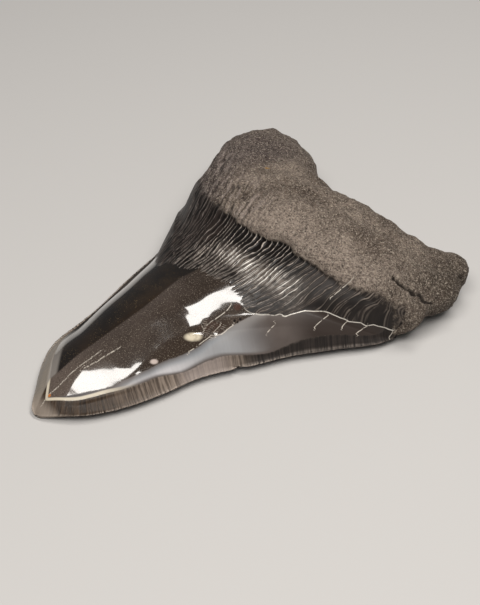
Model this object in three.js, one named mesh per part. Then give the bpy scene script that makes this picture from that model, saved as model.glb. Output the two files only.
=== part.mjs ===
// A fossil megalodon tooth lying on its flat face, tip towards -Y, root towards +Y, in millimetres.
// The tooth grew as one piece, so it is one closed mesh: a grid over the convex face, a coarser
// grid under the flat face, and a shared rim that carries the saw teeth of both cutting edges.
import * as THREE from "three";

// Driving dimensions
const CROWN_HEIGHT = 17.5; // the crest of the crown levels out at this height above the table
const CROWN_RISE = 18; // distance from the tip over which the crest climbs
const ROOT_HEIGHT = 24.5; // thickest part of the root
const ROOT_BULGE_ALONG = 87; // distance of that part from the tip
const ROOT_FALL = 5.5; // the root is this much thinner away from its bulge
const LOBE_FALL = 4.5; // the broken right lobe lies this much lower than the left one
const BLADE_EDGE_HEIGHT = 2.5; // cutting edge above the table
const ROOT_RIM_HEIGHT = 9; // widest line of the root above the table
const STRIP_WIDTH = 3.2; // bevelled strip behind the cutting edge, next to the tip
const STRIP_FAR_WIDTH = 1.8; // the strip narrows to this towards the shoulders
const STRIP_DROP = 0.3; // the strip lies this much below the enamel inside it
const EDGE_WIDTH = 1.1; // the saw teeth run out into the strip over this width
const SAW_PITCH = 0.62; // one saw tooth of the cutting edge
const SAW_DEPTH = 0.3;
const FLANK_WIDTH = 3.9; // the flattened flank reaches this far in from the edge near the tip
const FLANK_FAR_WIDTH = 6.3; // and this far beyond the middle of the blade
const FLANK_DEPTH = 0.6; // valley line where the crown rolls over onto the flank
const FLANK_ROLL = 5; // width over which the crown rolls over
const CHIP = { along: 48.3, depth: 0.9, reach: 0.9 }; // chip in the right cutting edge
const NECK_DROP = 0.45; // the neck lies this much below the enamel of the crown
const NECK_RIDGE = 0.2; // half height of the growth ridges on the neck
const LEDGE_STEP = 1.4; // the root stands this much above the neck
const RECESS = { x: 6, reach: 12, depth: 1.4 }; // deeper stretch of the neck along the ledge
const UNDER_HOLLOW = 0.9; // the flat face is hollow by this much between tip and root

// Outline in plan as [x, distance from the tip]: both cutting edges from the tip to the shoulders,
const LEFT_BLADE = [
  [1.4, 0.4],
  [-0.9, 1.2],
  [-5.2, 5.6],
  [-11, 11.9],
  [-15.6, 19],
  [-18.2, 30],
  [-20.6, 39],
  [-24.4, 51],
  [-28.5, 64.5],
  [-34, 73.3],
  [-41.5, 84.6],
];
const RIGHT_BLADE = [
  [1.4, 0.4],
  [4.6, 2.1],
  [10.7, 8.2],
  [15.3, 18.4],
  [17.6, 29],
  [19.6, 40.4],
  [24.7, 52.7],
  [28.2, 61.6],
  [34.1, 71.8],
  [38.6, 79.5],
  [40.6, 85],
];
// the short ends of the neck between shoulders and root,
const LEFT_NECK = [
  [-41.5, 84.6],
  [-40.2, 85.8],
  [-39, 87.4],
];
const RIGHT_NECK = [
  [40.6, 85],
  [40.8, 86],
  [41.8, 86.9],
];
// the outer sides of the two lobes,
const LEFT_LOBE = [
  [-39, 87.4],
  [-40.8, 92.8],
  [-45.2, 100],
  [-48.4, 106.4],
  [-48.5, 111.6],
  [-46.2, 115.8],
  [-42, 118],
];
const RIGHT_LOBE = [
  [41.8, 86.9],
  [45, 89],
  [44.8, 92.2],
  [43.4, 95.4],
  [44.4, 98.6],
  [45.3, 102.5],
  [43.8, 106.4],
  [41.4, 109.4],
  [40.8, 112.8],
  [38.8, 115.2],
];
// and the far end of the root from the left lobe to the right one.
const ROOT_END = [
  [-42, 118],
  [-36, 118.8],
  [-30, 119],
  [-24, 117.8],
  [-18.4, 114.6],
  [-13, 109.6],
  [-6.7, 107],
  [0.8, 106.8],
  [9, 107.8],
  [17, 109.2],
  [24, 110],
  [28.4, 111.4],
  [30.6, 114.8],
  [33, 117],
  [36.2, 116.8],
  [38.8, 115.2],
];

// The enamel line and the ledge of the root both dip towards the tip in the middle.
const ENAMEL_DIP = 31;
const LEDGE_DIP = 12.5;
const ENAMEL_ROUNDNESS = 1.7; // a higher roundness makes the bottom of the dip flatter
const LEDGE_ROUNDNESS = 3;

// Marks on the root as [x, distance from the tip, depth, radius]; a negative depth is a lump.
const MARKS = [
  [-5.1, 90, 1.4, 1.6],
  [-12.8, 96.2, -0.6, 2.6],
  [3.1, 86.7, -0.5, 3],
  [25.2, 88.2, 0.9, 4.5],
  [-24, 101, 0.5, 7],
];
const CRACK = { from: [36.6, 87.2], to: [44, 97.2], depth: 1.1, reach: 1 };

// Mesh density
const TOP_COLUMNS = 52;
const UNDER_COLUMNS = 26;
const CROWN_ROWS = 29;
const NECK_ROWS = 7;
const ROOT_ROWS = 8;
const ROUND_ROWS = 8;

// Stations along the tooth: the tip is 0, the enamel line 1, the ledge 2, the end of the root 3.
const ENAMEL = 1;
const LEDGE = 2;
const END = 3;
const TOP_ROUND = 0.3; // the root rounds off over this share of a station above
const UNDER_ROUND = 0.22; // and over this share below

const { lerp, smoothstep, clamp } = THREE.MathUtils;
const gauss = (distance, reach) => Math.exp(-((distance / reach) ** 2));
const curveOf = (points) =>
  new THREE.SplineCurve(points.map(([x, y]) => new THREE.Vector2(x, y)));

const leftSide = [LEFT_BLADE, LEFT_NECK, LEFT_LOBE].map(curveOf);
const rightSide = [RIGHT_BLADE, RIGHT_NECK, RIGHT_LOBE].map(curveOf);
const rootEnd = curveOf(ROOT_END);

const pieceOf = (station) => Math.min(Math.floor(station), END - 1);
const onSide = (side, station) =>
  side[pieceOf(station)].getPointAt(station - pieceOf(station));

// How far the middle of a row dips towards the tip
function dipOf(station) {
  if (station < ENAMEL) return ENAMEL_DIP * station ** 1.25;
  if (station < LEDGE) return lerp(ENAMEL_DIP, LEDGE_DIP, station - ENAMEL);
  return LEDGE_DIP * (1 - (station - LEDGE)) ** 1.4;
}

// Plan position of a station and a share across, 0 on the left rim and 1 on the right one
function planPoint(station, across) {
  const point = onSide(leftSide, station).lerp(
    onSide(rightSide, station),
    across,
  );
  const off = Math.abs(2 * across - 1);
  const towardsLedge = smoothstep(station, ENAMEL, LEDGE);
  const roundness = lerp(ENAMEL_ROUNDNESS, LEDGE_ROUNDNESS, towardsLedge);
  point.y -= dipOf(station) * (1 - off ** roundness);
  if (station <= LEDGE) return point;
  const straight = rootEnd.getPoint(0).lerp(rootEnd.getPoint(1), across);
  const bow = rootEnd.getPointAt(across).sub(straight);
  return point.addScaledVector(bow, smoothstep(station, LEDGE, END));
}

const widthAt = (station) =>
  onSide(rightSide, station).distanceTo(onSide(leftSide, station));

// 0 on the enamel, most of the way to 1 at the ledge, 1 on the root
const rootness = (station) =>
  0.7 * smoothstep(station, ENAMEL, LEDGE) +
  0.3 * smoothstep(station, LEDGE, LEDGE + 0.3);

const rimHeight = (station) =>
  lerp(
    BLADE_EDGE_HEIGHT * smoothstep(station, -0.1, 0.12),
    ROOT_RIM_HEIGHT,
    smoothstep(station, ENAMEL + 0.3, LEDGE + 0.3),
  );

// 1 well inside the root, falling to 0 at its far end in a quarter circle
function endRounding(station, share) {
  const inside = clamp((END - station) / share, 0, 1);
  return Math.sqrt(1 - (1 - inside) ** 2);
}

// Height of the crest above the table: the crown levels out, the root bulges behind the ledge
function crestHeight(x, along) {
  const crown = CROWN_HEIGHT * (1 - Math.exp(-Math.max(0, along) / CROWN_RISE));
  const bulge = gauss(along - ROOT_BULGE_ALONG, 17);
  const root =
    ROOT_HEIGHT - ROOT_FALL * (1 - bulge) - LOBE_FALL * smoothstep(x, 12, 40);
  return lerp(crown, root, smoothstep(along, 52, 82));
}

// Cross profile, 1 on the crest and 0 on the rim: a lens on the crown, sharper along its crest
// towards the tip and hollow towards the cutting edge, and a rounded box on the root
function crossProfile(off, station) {
  const crease = lerp(0.24, 0.12, clamp(station / ENAMEL, 0, 1));
  const lens =
    Math.max(0, 1 - crease * off - (1 - crease) * off ** 2.4) ** 1.3;
  const box = (1 - off ** 3.2) ** 0.55;
  return lerp(lens, box, rootness(station));
}

const stripWidth = (station) =>
  lerp(STRIP_WIDTH, STRIP_FAR_WIDTH, smoothstep(station, 0.25, 0.5));

// The enamel is flatter between the strip and a valley line inside it, where the crown ends in
// a steeper roll. Depth below the lens, at most on the valley line.
function flankDepth(fromEdge, station) {
  const strip = stripWidth(station);
  const reach = lerp(FLANK_WIDTH, FLANK_FAR_WIDTH, smoothstep(station, 0.42, 0.6));
  const valley = Math.max(strip + 0.2, reach * (1 - 0.65 * smoothstep(station, 0.78, 1)));
  const roll = clamp((valley + FLANK_ROLL - fromEdge) / FLANK_ROLL, 0, 1) ** 2;
  const flat = clamp((fromEdge - strip) / (valley - strip), 0, 1);
  const presence = smoothstep(station, 0.1, 0.5) * (1 - smoothstep(station, 0.8, 1));
  return FLANK_DEPTH * presence * Math.min(roll, flat);
}

// Low swells of the worn root: a few waves that never line up
function swells(x, y) {
  return (
    0.32 * Math.sin(0.31 * x + 0.17 * y) +
    0.26 * Math.sin(0.47 * y - 0.21 * x + 1.3) +
    0.2 * Math.sin(0.83 * x - 0.29 * y + 4.1) +
    0.16 * Math.sin(0.61 * x + 1.07 * y + 2.2)
  );
}

function crackDepth(point) {
  const from = new THREE.Vector2(...CRACK.from);
  const run = new THREE.Vector2(...CRACK.to).sub(from);
  const offset = point.clone().sub(from);
  const share = clamp(offset.dot(run) / run.lengthSq(), 0, 1);
  const distance = offset.addScaledVector(run, -share).length();
  return CRACK.depth * gauss(distance, CRACK.reach);
}

function rootRelief(point) {
  let relief = swells(point.x, point.y) - crackDepth(point);
  for (const [x, along, depth, radius] of MARKS)
    relief -= depth * gauss(Math.hypot(point.x - x, point.y - along), radius);
  return relief;
}

// The convex upper face: crown, neck with its growth ridges, ledge and root
function topHeight(station, across, column) {
  const point = planPoint(station, across);
  const off = Math.abs(2 * across - 1);
  const rim = rimHeight(station);
  const profile =
    crossProfile(off, station) * endRounding(station, TOP_ROUND);
  const fromEdge = (1 - off) * 0.5 * widthAt(station);
  let height = rim + (crestHeight(point.x, point.y) - rim) * profile;
  const strip =
    smoothstep(fromEdge, 0, EDGE_WIDTH / 2) -
    smoothstep(fromEdge, EDGE_WIDTH, stripWidth(station) * 0.95);
  height -= STRIP_DROP * strip * (1 - rootness(station)) * clamp(station / 0.2, 0, 1);
  height -= flankDepth(fromEdge, station);
  const neck =
    smoothstep(station, ENAMEL - 0.012, ENAMEL + 0.02) -
    smoothstep(station, LEDGE, LEDGE + 0.05);
  const ridge = NECK_RIDGE * (column % 2 ? 1 : -1);
  height -= neck * (NECK_DROP + ridge) * smoothstep(fromEdge, 1, 7);
  const nearLedge = gauss(Math.max(0, LEDGE - station), 0.17);
  const recess = RECESS.depth * gauss(point.x - RECESS.x, RECESS.reach);
  height -= neck * recess * nearLedge;
  const pastLedge = smoothstep(station, LEDGE, LEDGE + 0.05);
  const ledge = pastLedge * (1 - smoothstep(station, LEDGE + 0.05, END));
  height += LEDGE_STEP * ledge * smoothstep(fromEdge, 0.5, 8);
  return height + pastLedge * rootRelief(point) * clamp(2 * profile, 0, 1);
}

// The flatter lower face: it rests on the root and near the tip, and is hollow in between
function underHeight(station, across) {
  const point = planPoint(station, across);
  const off = Math.abs(2 * across - 1);
  const shallow = 1 - off ** 2.2;
  const boxed = Math.sqrt(1 - off ** 5);
  const cover =
    lerp(shallow, boxed, rootness(station)) * endRounding(station, UNDER_ROUND);
  const seated = rimHeight(station) * Math.max(0, 1 - 1.08 * cover);
  const reach = clamp((point.y - 12) / 64, 0, 1);
  return seated + UNDER_HOLLOW * Math.sin(Math.PI * reach) ** 2 * cover;
}

// Even rows over the crown, close pairs on the enamel line and the ledge, a turned end
function rowStations() {
  const rows = [];
  for (let i = 0; i < CROWN_ROWS; i++)
    rows.push((ENAMEL - 0.012) * (i / (CROWN_ROWS - 1)));
  for (let i = 0; i < NECK_ROWS; i++)
    rows.push(lerp(ENAMEL + 0.02, LEDGE, i / (NECK_ROWS - 1)));
  for (let i = 0; i < ROOT_ROWS; i++)
    rows.push(lerp(LEDGE + 0.05, END - TOP_ROUND, i / ROOT_ROWS));
  for (let i = 0; i <= ROUND_ROWS; i++) {
    const turn = (1 - i / ROUND_ROWS) * (Math.PI / 2);
    rows.push(END - TOP_ROUND * (1 - Math.cos(turn)));
  }
  return rows;
}
const rows = rowStations();
const lastRow = rows.length - 1;

// Two columns on each side follow the saw teeth and the bevel of the blade, and stay close to
// the root's rim; the others spread out between them.
function acrossOf(station, column, columns) {
  if (column > columns / 2) return 1 - acrossOf(station, columns - column, columns);
  if (column === 0) return 0;
  const width = Math.max(widthAt(station), 1);
  const edge = lerp(EDGE_WIDTH, 0.5, rootness(station));
  if (column === 1) return Math.min(0.05, edge / width);
  const bevel = lerp(STRIP_WIDTH, 1.8, rootness(station));
  const strip = Math.min(0.15, bevel / width);
  const even = (column - 2) / (columns - 4);
  const eased = (1 - Math.cos(Math.PI * even)) / 2;
  return lerp(strip, 1 - strip, lerp(even, eased, 0.25));
}

const positions = [];
const triangles = [];
function addVertex(x, along, z) {
  positions.push(x, along, z);
  return positions.length / 3 - 1;
}
function addTriangle(a, b, c) {
  if (a !== b && b !== c && c !== a) triangles.push(a, b, c);
}

// Saw teeth stand on the cutting edges only and are worn off at the tip.
const sawDepth = (station) =>
  SAW_DEPTH * smoothstep(station, 0.06, 0.2) * (1 - smoothstep(station, 0.96, 1));

// A rim vertex, pushed outwards by a saw tooth or inwards by the chip
function rimVertex(side, sign, station, peak) {
  const piece = pieceOf(station);
  const along = station - piece;
  const point = side[piece].getPointAt(along);
  const tangent = side[piece].getTangentAt(along);
  const chip = sign > 0 ? CHIP.depth * gauss(point.y - CHIP.along, CHIP.reach) : 0;
  const push = sign * ((peak ? sawDepth(station) : 0) - chip);
  return addVertex(
    point.x + push * tangent.y,
    point.y - push * tangent.x,
    rimHeight(station),
  );
}

// The rim along one side: for each row its own vertex and the saw teeth up to the next row
function sideRim(side, sign, tip) {
  const rim = [];
  for (let row = 0; row < lastRow; row++) {
    const gap = onSide(side, rows[row]).distanceTo(onSide(side, rows[row + 1]));
    const serrated = row > 0 && sawDepth((rows[row] + rows[row + 1]) / 2) > 0;
    const steps = serrated ? 2 * Math.max(1, Math.round(gap / SAW_PITCH)) : 1;
    const vertices = [];
    for (let step = 0; step < steps; step++) {
      const station = lerp(rows[row], rows[row + 1], step / steps);
      if (row === 0 && step === 0) vertices.push(tip);
      else vertices.push(rimVertex(side, sign, station, step % 2 === 1));
    }
    rim.push(vertices);
  }
  return rim;
}

// The rim round the far end of the root
function endRim() {
  const rim = [];
  for (let column = 0; column <= TOP_COLUMNS; column++) {
    const point = planPoint(END, acrossOf(END, column, TOP_COLUMNS));
    rim.push(addVertex(point.x, point.y, rimHeight(END)));
  }
  return rim;
}

// Joins two lines of vertices of different counts with one strip of triangles.
function zip(coarse, fine, flip) {
  const perStep = (fine.length - 1) / (coarse.length - 1);
  const add = (a, b, c) => (flip ? addTriangle(a, c, b) : addTriangle(a, b, c));
  for (let i = 0; i < coarse.length - 1; i++) {
    const start = Math.round(i * perStep);
    const end = Math.round((i + 1) * perStep);
    const middle = start + Math.floor((end - start) / 2);
    for (let j = start; j < end; j++)
      add(j < middle ? coarse[i] : coarse[i + 1], fine[j + 1], fine[j]);
    add(coarse[i], coarse[i + 1], fine[middle]);
  }
}

// One face of the tooth inside the rims; the under face has its triangles turned round.
function addFace(columns, heightAt, rims, under) {
  const grid = rows.slice(0, lastRow).map((station, row) => {
    if (row === 0) return new Array(columns + 1).fill(rims.tip);
    const line = [rims.left[row][0]];
    for (let column = 1; column < columns; column++) {
      const across = acrossOf(station, column, columns);
      const point = planPoint(station, across);
      line.push(
        addVertex(point.x, point.y, heightAt(station, across, column)),
      );
    }
    line.push(rims.right[row][0]);
    return line;
  });
  for (let row = 0; row < lastRow - 1; row++) {
    const here = grid[row];
    const next = grid[row + 1];
    zip(here.slice(1, columns), next.slice(1, columns), under);
    const leftFine = [...rims.left[row], rims.left[row + 1][0]];
    const rightFine = [...rims.right[row], rims.right[row + 1][0]];
    zip([here[1], next[1]], leftFine, under);
    zip([here[columns - 1], next[columns - 1]], rightFine, !under);
  }
  zip(grid[lastRow - 1], rims.end, under);
}

function toothGeometry() {
  const { x, y } = leftSide[0].getPoint(0);
  const tip = addVertex(x, y, rimHeight(0));
  const rims = {
    tip,
    left: sideRim(leftSide, -1, tip),
    right: sideRim(rightSide, 1, tip),
    end: endRim(),
  };
  addFace(TOP_COLUMNS, topHeight, rims, false);
  addFace(UNDER_COLUMNS, underHeight, rims, true);
  const geometry = new THREE.BufferGeometry();
  geometry.setAttribute(
    "position",
    new THREE.Float32BufferAttribute(positions, 3),
  );
  geometry.setIndex(triangles);
  // The origin is the middle of the tooth's box, on the table.
  geometry.computeBoundingBox();
  const { min, max } = geometry.boundingBox;
  geometry.translate(-(min.x + max.x) / 2, -(min.y + max.y) / 2, -min.z);
  geometry.computeVertexNormals();
  return geometry;
}

const fossil = new THREE.MeshStandardMaterial({
  color: 0x4a4440,
  roughness: 0.45,
  metalness: 0,
});
const tooth = new THREE.Mesh(toothGeometry(), fossil);
tooth.name = "tooth";

const group = new THREE.Group();
group.add(tooth);
export default group;
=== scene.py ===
"""A fossil megalodon tooth lying on its flat face, seen over the right cutting edge from the tip.

Lengths are millimetres in plan space, x across and y the distance from the tip, until the
mesh is made. Stations run along the tooth: the tip is 0, the enamel line 1, the ledge of the
root 2 and the far end of the root 3.
"""
import math

import bpy
import numpy as np
from mathutils import Matrix, Vector


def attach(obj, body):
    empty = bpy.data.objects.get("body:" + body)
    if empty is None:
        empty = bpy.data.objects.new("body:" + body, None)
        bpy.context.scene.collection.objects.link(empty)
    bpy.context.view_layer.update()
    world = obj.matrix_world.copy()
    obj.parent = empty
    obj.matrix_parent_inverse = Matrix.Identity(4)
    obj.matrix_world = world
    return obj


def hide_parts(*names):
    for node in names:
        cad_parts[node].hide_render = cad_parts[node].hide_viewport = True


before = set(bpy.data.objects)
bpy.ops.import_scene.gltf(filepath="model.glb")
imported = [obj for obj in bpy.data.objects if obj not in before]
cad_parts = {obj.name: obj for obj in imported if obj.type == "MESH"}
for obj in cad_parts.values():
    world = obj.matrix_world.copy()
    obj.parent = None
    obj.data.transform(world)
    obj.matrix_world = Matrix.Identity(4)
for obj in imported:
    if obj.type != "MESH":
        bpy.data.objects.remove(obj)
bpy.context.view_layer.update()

MM = 0.001
PER_METRE = 1000.0
MIDDLE_X, MIDDLE_Y = -1.707, 59.731  # middle of the tooth's box in plan space
ENAMEL, LEDGE, END = 1.0, 2.0, 3.0  # stations
BLADE_LENGTH = 96.0  # about the length of one cutting edge
ROW_SPREAD = 20  # about the length of a station on neck and root
FAR = 9.0  # a distance from a drawn line that leaves no trace of it
SLANT_TURN, SLANT_LEAN = math.radians(48.5), math.radians(39.0)  # see slanted()

# Heights, roundings and dips, as in the solid
CROWN_HEIGHT, CROWN_RISE = 17.5, 18.0
CREST_CREASES = 0.24, 0.12  # how sharp the crest is at the tip and at the enamel line
LENS_POWER, LENS_HOLLOW = 2.4, 1.3
BOX_POWER, BOX_ROUND = 3.2, 0.55
ROOT_HEIGHT, ROOT_BULGE_ALONG, ROOT_BULGE_REACH, ROOT_FALL = 24.5, 87.0, 17.0, 5.5
LOBE_FALL, LOBE_FALL_OVER = 4.5, (12, 40)  # stretch of x over which the right lobe gets lower
CROWN_TO_ROOT = 52, 82  # stretch of y where one crest passes into the other
BLADE_EDGE_HEIGHT, ROOT_RIM_HEIGHT = 2.5, 9.0
STRIP_DROP, SAW_DEPTH = 0.3, 0.3
FLANK_DEPTH, FLANK_ROLL = 0.6, 5.0
CHIP_ALONG, CHIP_DEPTH, CHIP_REACH = 48.3, 0.9, 0.9
NECK_DROP, LEDGE_STEP, UNDER_HOLLOW = 0.45, 1.4, 0.9
RECESS_X, RECESS_REACH, RECESS_DEPTH = 6.0, 12.0, 1.4
TOP_ROUND, UNDER_ROUND = 0.3, 0.22
ENAMEL_DIP, LEDGE_DIP = 31.0, 12.5
ENAMEL_ROUNDNESS, LEDGE_ROUNDNESS = 1.7, 3.0

# Finer relief than the solid has
RIM_WEAR = 0.12
SAW_CUT, SAW_FADE = 0.12, 0.6  # depth of the cuts between saw teeth, and how far in they fade
BLADE_WEAR, BLADE_WEAR_SIZE = 0.05, 9
ENAMEL_STEP = 0.06  # the enamel ends this much above the neck
ENAMEL_RAGGED, ENAMEL_RAGGED_SIZE = (0.5, 0.03), 2.4  # its end is torn, but clean on the right
LEDGE_RAGGED, LEDGE_RAGGED_SIZE = 0.45, 3.0
TO_RIM_LINE = 18, 22  # stretch of x where RIM_LINE takes over from NECK_LINE
RECESS_LENGTH = 4.5  # the recess runs out this far in front of the ledge
RIDGE_SPACING, RIDGE_HEIGHT, RIDGE_SHARPNESS = 1.15, 0.3, 6
RIDGE_FAN_X, RIDGE_FAN_Y, RIDGE_FAN_RATE = 6.7, 60, 0.015
COARSE_SIZE, COARSE_HEIGHT = 2.6, 0.27
FINE_SIZE, FINE_HEIGHT = 1.1, 0.2
PORE_DEPTH, FIBRE_SPACING, FIBRE_HEIGHTS = 0.2, 1.3, (0.14, 0.36)
CRACK_DEPTH, CRACK_REACH = 1.3, 0.35
WEATHERING, WEATHERING_SIZE = 0.2, 1.9
NOTCH_X, NOTCH_Y, NOTCH_DEPTH, NOTCH_REACH = 41.6, 110.2, 2.2, 1.0

# Outline in plan from the tip, as in the solid
LEFT_BLADE = [
    (1.4, 0.4), (-0.9, 1.2), (-5.2, 5.6), (-11, 11.9), (-15.6, 19), (-18.2, 30),
    (-20.6, 39), (-24.4, 51), (-28.5, 64.5), (-34, 73.3), (-41.5, 84.6),
]
RIGHT_BLADE = [
    (1.4, 0.4), (4.6, 2.1), (10.7, 8.2), (15.3, 18.4), (17.6, 29), (19.6, 40.4),
    (24.7, 52.7), (28.2, 61.6), (34.1, 71.8), (38.6, 79.5), (40.6, 85),
]
LEFT_NECK = [(-41.5, 84.6), (-40.2, 85.8), (-39, 87.4)]
RIGHT_NECK = [(40.6, 85), (40.8, 86), (41.8, 86.9)]
LEFT_LOBE = [
    (-39, 87.4), (-40.8, 92.8), (-45.2, 100), (-48.4, 106.4), (-48.5, 111.6),
    (-46.2, 115.8), (-42, 118),
]
RIGHT_LOBE = [
    (41.8, 86.9), (45, 89), (44.8, 92.2), (43.4, 95.4), (44.4, 98.6), (45.3, 102.5),
    (43.8, 106.4), (41.4, 109.4), (40.8, 112.8), (38.8, 115.2),
]
ROOT_END = [
    (-42, 118), (-36, 118.8), (-30, 119), (-24, 117.8), (-18.4, 114.6), (-13, 109.6),
    (-6.7, 107), (0.8, 106.8), (9, 107.8), (17, 109.2), (24, 110), (28.4, 111.4),
    (30.6, 114.8), (33, 117), (36.2, 116.8), (38.8, 115.2),
]

# Lines drawn on the convex face, in plan
NECK_LINE = [
    (-41.5, 84.6), (-33.5, 73.5), (-25.5, 62.5), (-18, 54.6), (-14, 51.2), (-10.5, 50.4),
    (-9.1, 52.3), (-5.4, 52.6), (-2.7, 53.6), (-0.1, 54.8), (3.6, 55.7), (6.1, 56.3),
    (9.9, 57.7), (13.8, 56.2), (16.3, 55.7), (18.1, 56.5), (20.6, 60.4), (22.3, 62.1),
    (23.4, 62.9), (23.8, 64.6), (24, 66.3), (24.9, 68.3), (26.3, 70.2), (27.8, 71.9),
    (29.3, 73.3), (31, 75), (32.6, 76.7), (34.6, 78.8), (35.8, 80.1), (36.8, 81.3),
    (38.8, 83.5), (40.6, 85),
]
LEDGE_LINE = [
    (-39, 87.4), (-33, 82.2), (-28, 78.4), (-23.8, 76.2), (-19.7, 75.2), (-15.1, 74.2),
    (-9.7, 73.6), (-3.9, 72.8), (-1.2, 73.3), (3.6, 73.6), (5.5, 74.1), (10.1, 75.4),
    (14.6, 75), (18.7, 75.7), (22, 76), (28, 78.3), (35.5, 83), (41.8, 86.9),
]
CREST_LINE = [
    (0.8, 0.4), (-0.6, 4), (-1.8, 8), (-1, 10.6), (-0.4, 16.3), (0.3, 22),
    (0.5, 28.3), (0.5, 34.6), (-0.2, 41.7), (-1.4, 49.3), (-0.9, 54), (-1, 62),
]
FLANK_LINE = [
    (0.9, 0.4), (1.6, 4.9), (4.3, 7.5), (6.6, 10.6), (9, 14.6), (10.3, 17.6), (10.9, 20.4),
    (11.8, 23.3), (12.7, 27), (13, 30.1), (13.5, 33.4), (14.5, 37.3), (15.5, 41.3),
    (15.8, 46), (16.5, 50.4), (17.5, 53.9), (18.3, 56.5), (19, 59), (19, 90),
]
# Lines on the steep right side, as u and v on the slanted plane
RIM_LINE = [
    (50.1, 22), (51.8, 22.5), (54, 23.2), (56.2, 23.6), (58, 24.6), (60, 24.3), (61.6, 24.9),
    (62.4, 23.9), (63.6, 24.5), (65.8, 25.1), (67.6, 25.6), (70.1, 25.4), (72.6, 25.4),
    (74, 25), (76.7, 23.8), (78, 23.4), (79, 22.8), (81, 22.6), (82.1, 22.5), (82.9, 22),
    (83.5, 21.7), (85.3, 22), (86.6, 21.6), (88.2, 21.3), (89.3, 20.8), (90.5, 20.5),
]
ROOT_CRACK = [
    (100.6, 27.8), (98.5, 28), (97.5, 29), (96.8, 29.9), (95.6, 30.1), (93.7, 30.3),
    (92.5, 30.8), (91.2, 31.6), (90.2, 32.8),
]
DARK_CRACKS = [
    ROOT_CRACK,
    [(41.6, 22.7), (40.7, 23.9), (40, 25.5)],
    [(41.8, 27), (42.8, 27.8), (43.7, 28.6)],
]
PALE_CRACKS = [
    [(38.3, 15.4), (40.2, 16.6), (41.5, 17.6), (43.4, 18.9), (44.5, 20.1), (46.4, 22)],
    [(42.1, 20.1), (41.6, 22.7)],
    [(42.1, 20.1), (43, 22), (44.6, 23.3), (46.8, 24.7), (48.2, 26), (49, 26.9)],
    [(44.9, 19.4), (46.5, 19.6), (48, 20.8), (49.6, 22)],
    [(57.9, 19.9), (60.1, 22.2)],
    [(70, 21.3), (71.8, 23), (73.7, 24.3)],
    [(77.1, 21.4), (78.6, 22.8)],
    [(81, 19.9), (83.7, 21.6)],
    [(89.6, 18.6), (90, 19.3), (90.4, 20.2)],
    [(74.1, 29), (76.9, 31.5), (80.1, 33.5)],
]
# Spots on the slanted plane: u, v, radius and, where a spot is drawn out, its stretch along u
BROWN_STAIN = 43.6, 21.2, 2.6, 1.6
CREAM_SPOT, PINK_SPOT = (39.6, 19.1, 1.35, 2.0), (30.1, 13.1, 0.8, 1.5)
RUST_SPOT = 50.6, 26.6, 1.2
BLACK_PITS = [(49.9, 23.1, 0.45), (51.3, 23.5, 0.5), (50.6, 22.7, 0.35)]
DULL_PATCH = 48.4, 23.6, 3.0, 1.5
# Marks in plan: scratches, ochre spots, and pits of the root with their depth and radius, where
# a negative depth is a lump
TIP_SCRATCHES = [
    [(1.1, 2.6), (0.9, 4.8), (1.5, 8), (2, 11.5), (2.2, 14.1)],
    [(2.3, 14.1), (2.7, 17), (3, 20.3)],
    [(3.4, 14.4), (4.3, 17.6), (4.9, 21), (5.2, 24.4)],
]
TIP_OCHRE, ROOT_OCHRE = (1.2, 5.3, 0.45), (-14.9, 91.4, 1.0)
ROOT_MARKS = [
    (-5.1, 90, 1.3, 1.1), (-12.8, 96.2, -0.6, 2.6), (3.1, 86.7, -0.5, 3), (25.2, 88.2, 0.9, 4.5),
    (-24, 101, 0.5, 7),
]
DRAWN = ("dark_crack", "pale_crack", "scratch")  # lines that the mesh carries as distances

# The crest's shift from the middle, as a share across, by station
CREST_SHIFT = ([0, 0.05, 0.1, 0.15, 0.2, 0.25, 0.35, 0.5, 0.7, 1],
               [-0.1, -0.16, -0.17, -0.15, -0.08, -0.03, 0.014, 0, -0.024, 0])
# Width of the bevelled strip and reach of the flank from the cutting edge, by station
STRIP_WIDTHS = ([0, 0.24, 0.33, 0.39, 0.45, 0.6, 0.7, 0.8, 0.9, 1],
                [3.0, 3.1, 2.8, 2.6, 1.8, 1.9, 1.25, 1.3, 1.6, 1.7])
FLANK_REACHES = ([0, 0.15, 0.2, 0.27, 0.32, 0.366, 0.43, 0.467, 0.51, 0.576, 0.62, 0.68,
                  0.8, 0.9, 1],
                 [4, 4, 3.8, 3.1, 4, 5.1, 4.7, 4.2, 4.8, 6.3, 6.8, 6.4, 5.6, 3.6, 2.2])

# Swells of the crown: middle x and y, height, reach in x and in y
CROWN_SWELLS = [
    (2.2, 12.1, 0.4, 4, 5.5), (7.8, 24, -0.5, 3.5, 4.2), (10.5, 18.7, -0.41, 5.4, 5.5),
    (12.3, 27.7, 0.5, 3.5, 8.4), (13.3, 31.6, 0.5, 6.8, 8.5), (10.8, 42.9, 0.5, 8.5, 3.9),
    (13.1, 39.3, 0.38, 3.5, 4.8), (6.5, 55.7, 0.45, 3.5, 7),
]

# Mesh density: a crown row spans two saw teeth, and each tooth is drawn with four points.
TEETH_PER_ROW, POINTS_PER_TOOTH = 2, 4
CROWN_ROWS, NECK_ROWS, ROOT_ROWS, ROUND_ROWS = 81, 58, 86, 26
TOP_COLUMNS, UNDER_COLUMNS = 300, 100
EDGE_INSETS = (0.3, 0.75)  # lines beside the cutting edge that carry its cuts, mm from it
TOP_INSET, UNDER_INSET = 1.35, 1.4  # outermost columns of both faces, mm from the edge


# Number tools

def clamp(value, low=0.0, high=1.0):
    return np.minimum(np.maximum(value, low), high)


def smooth(value, low, high):
    """0 below low and 1 above high, with a soft S between."""
    t = clamp((value - low) / (high - low))
    return t * t * (3 - 2 * t)


def lerp(a, b, t):
    return a + (b - a) * t


def gauss(distance, reach):
    return np.exp(-(distance / reach) ** 2)


LATTICE = 256


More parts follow.
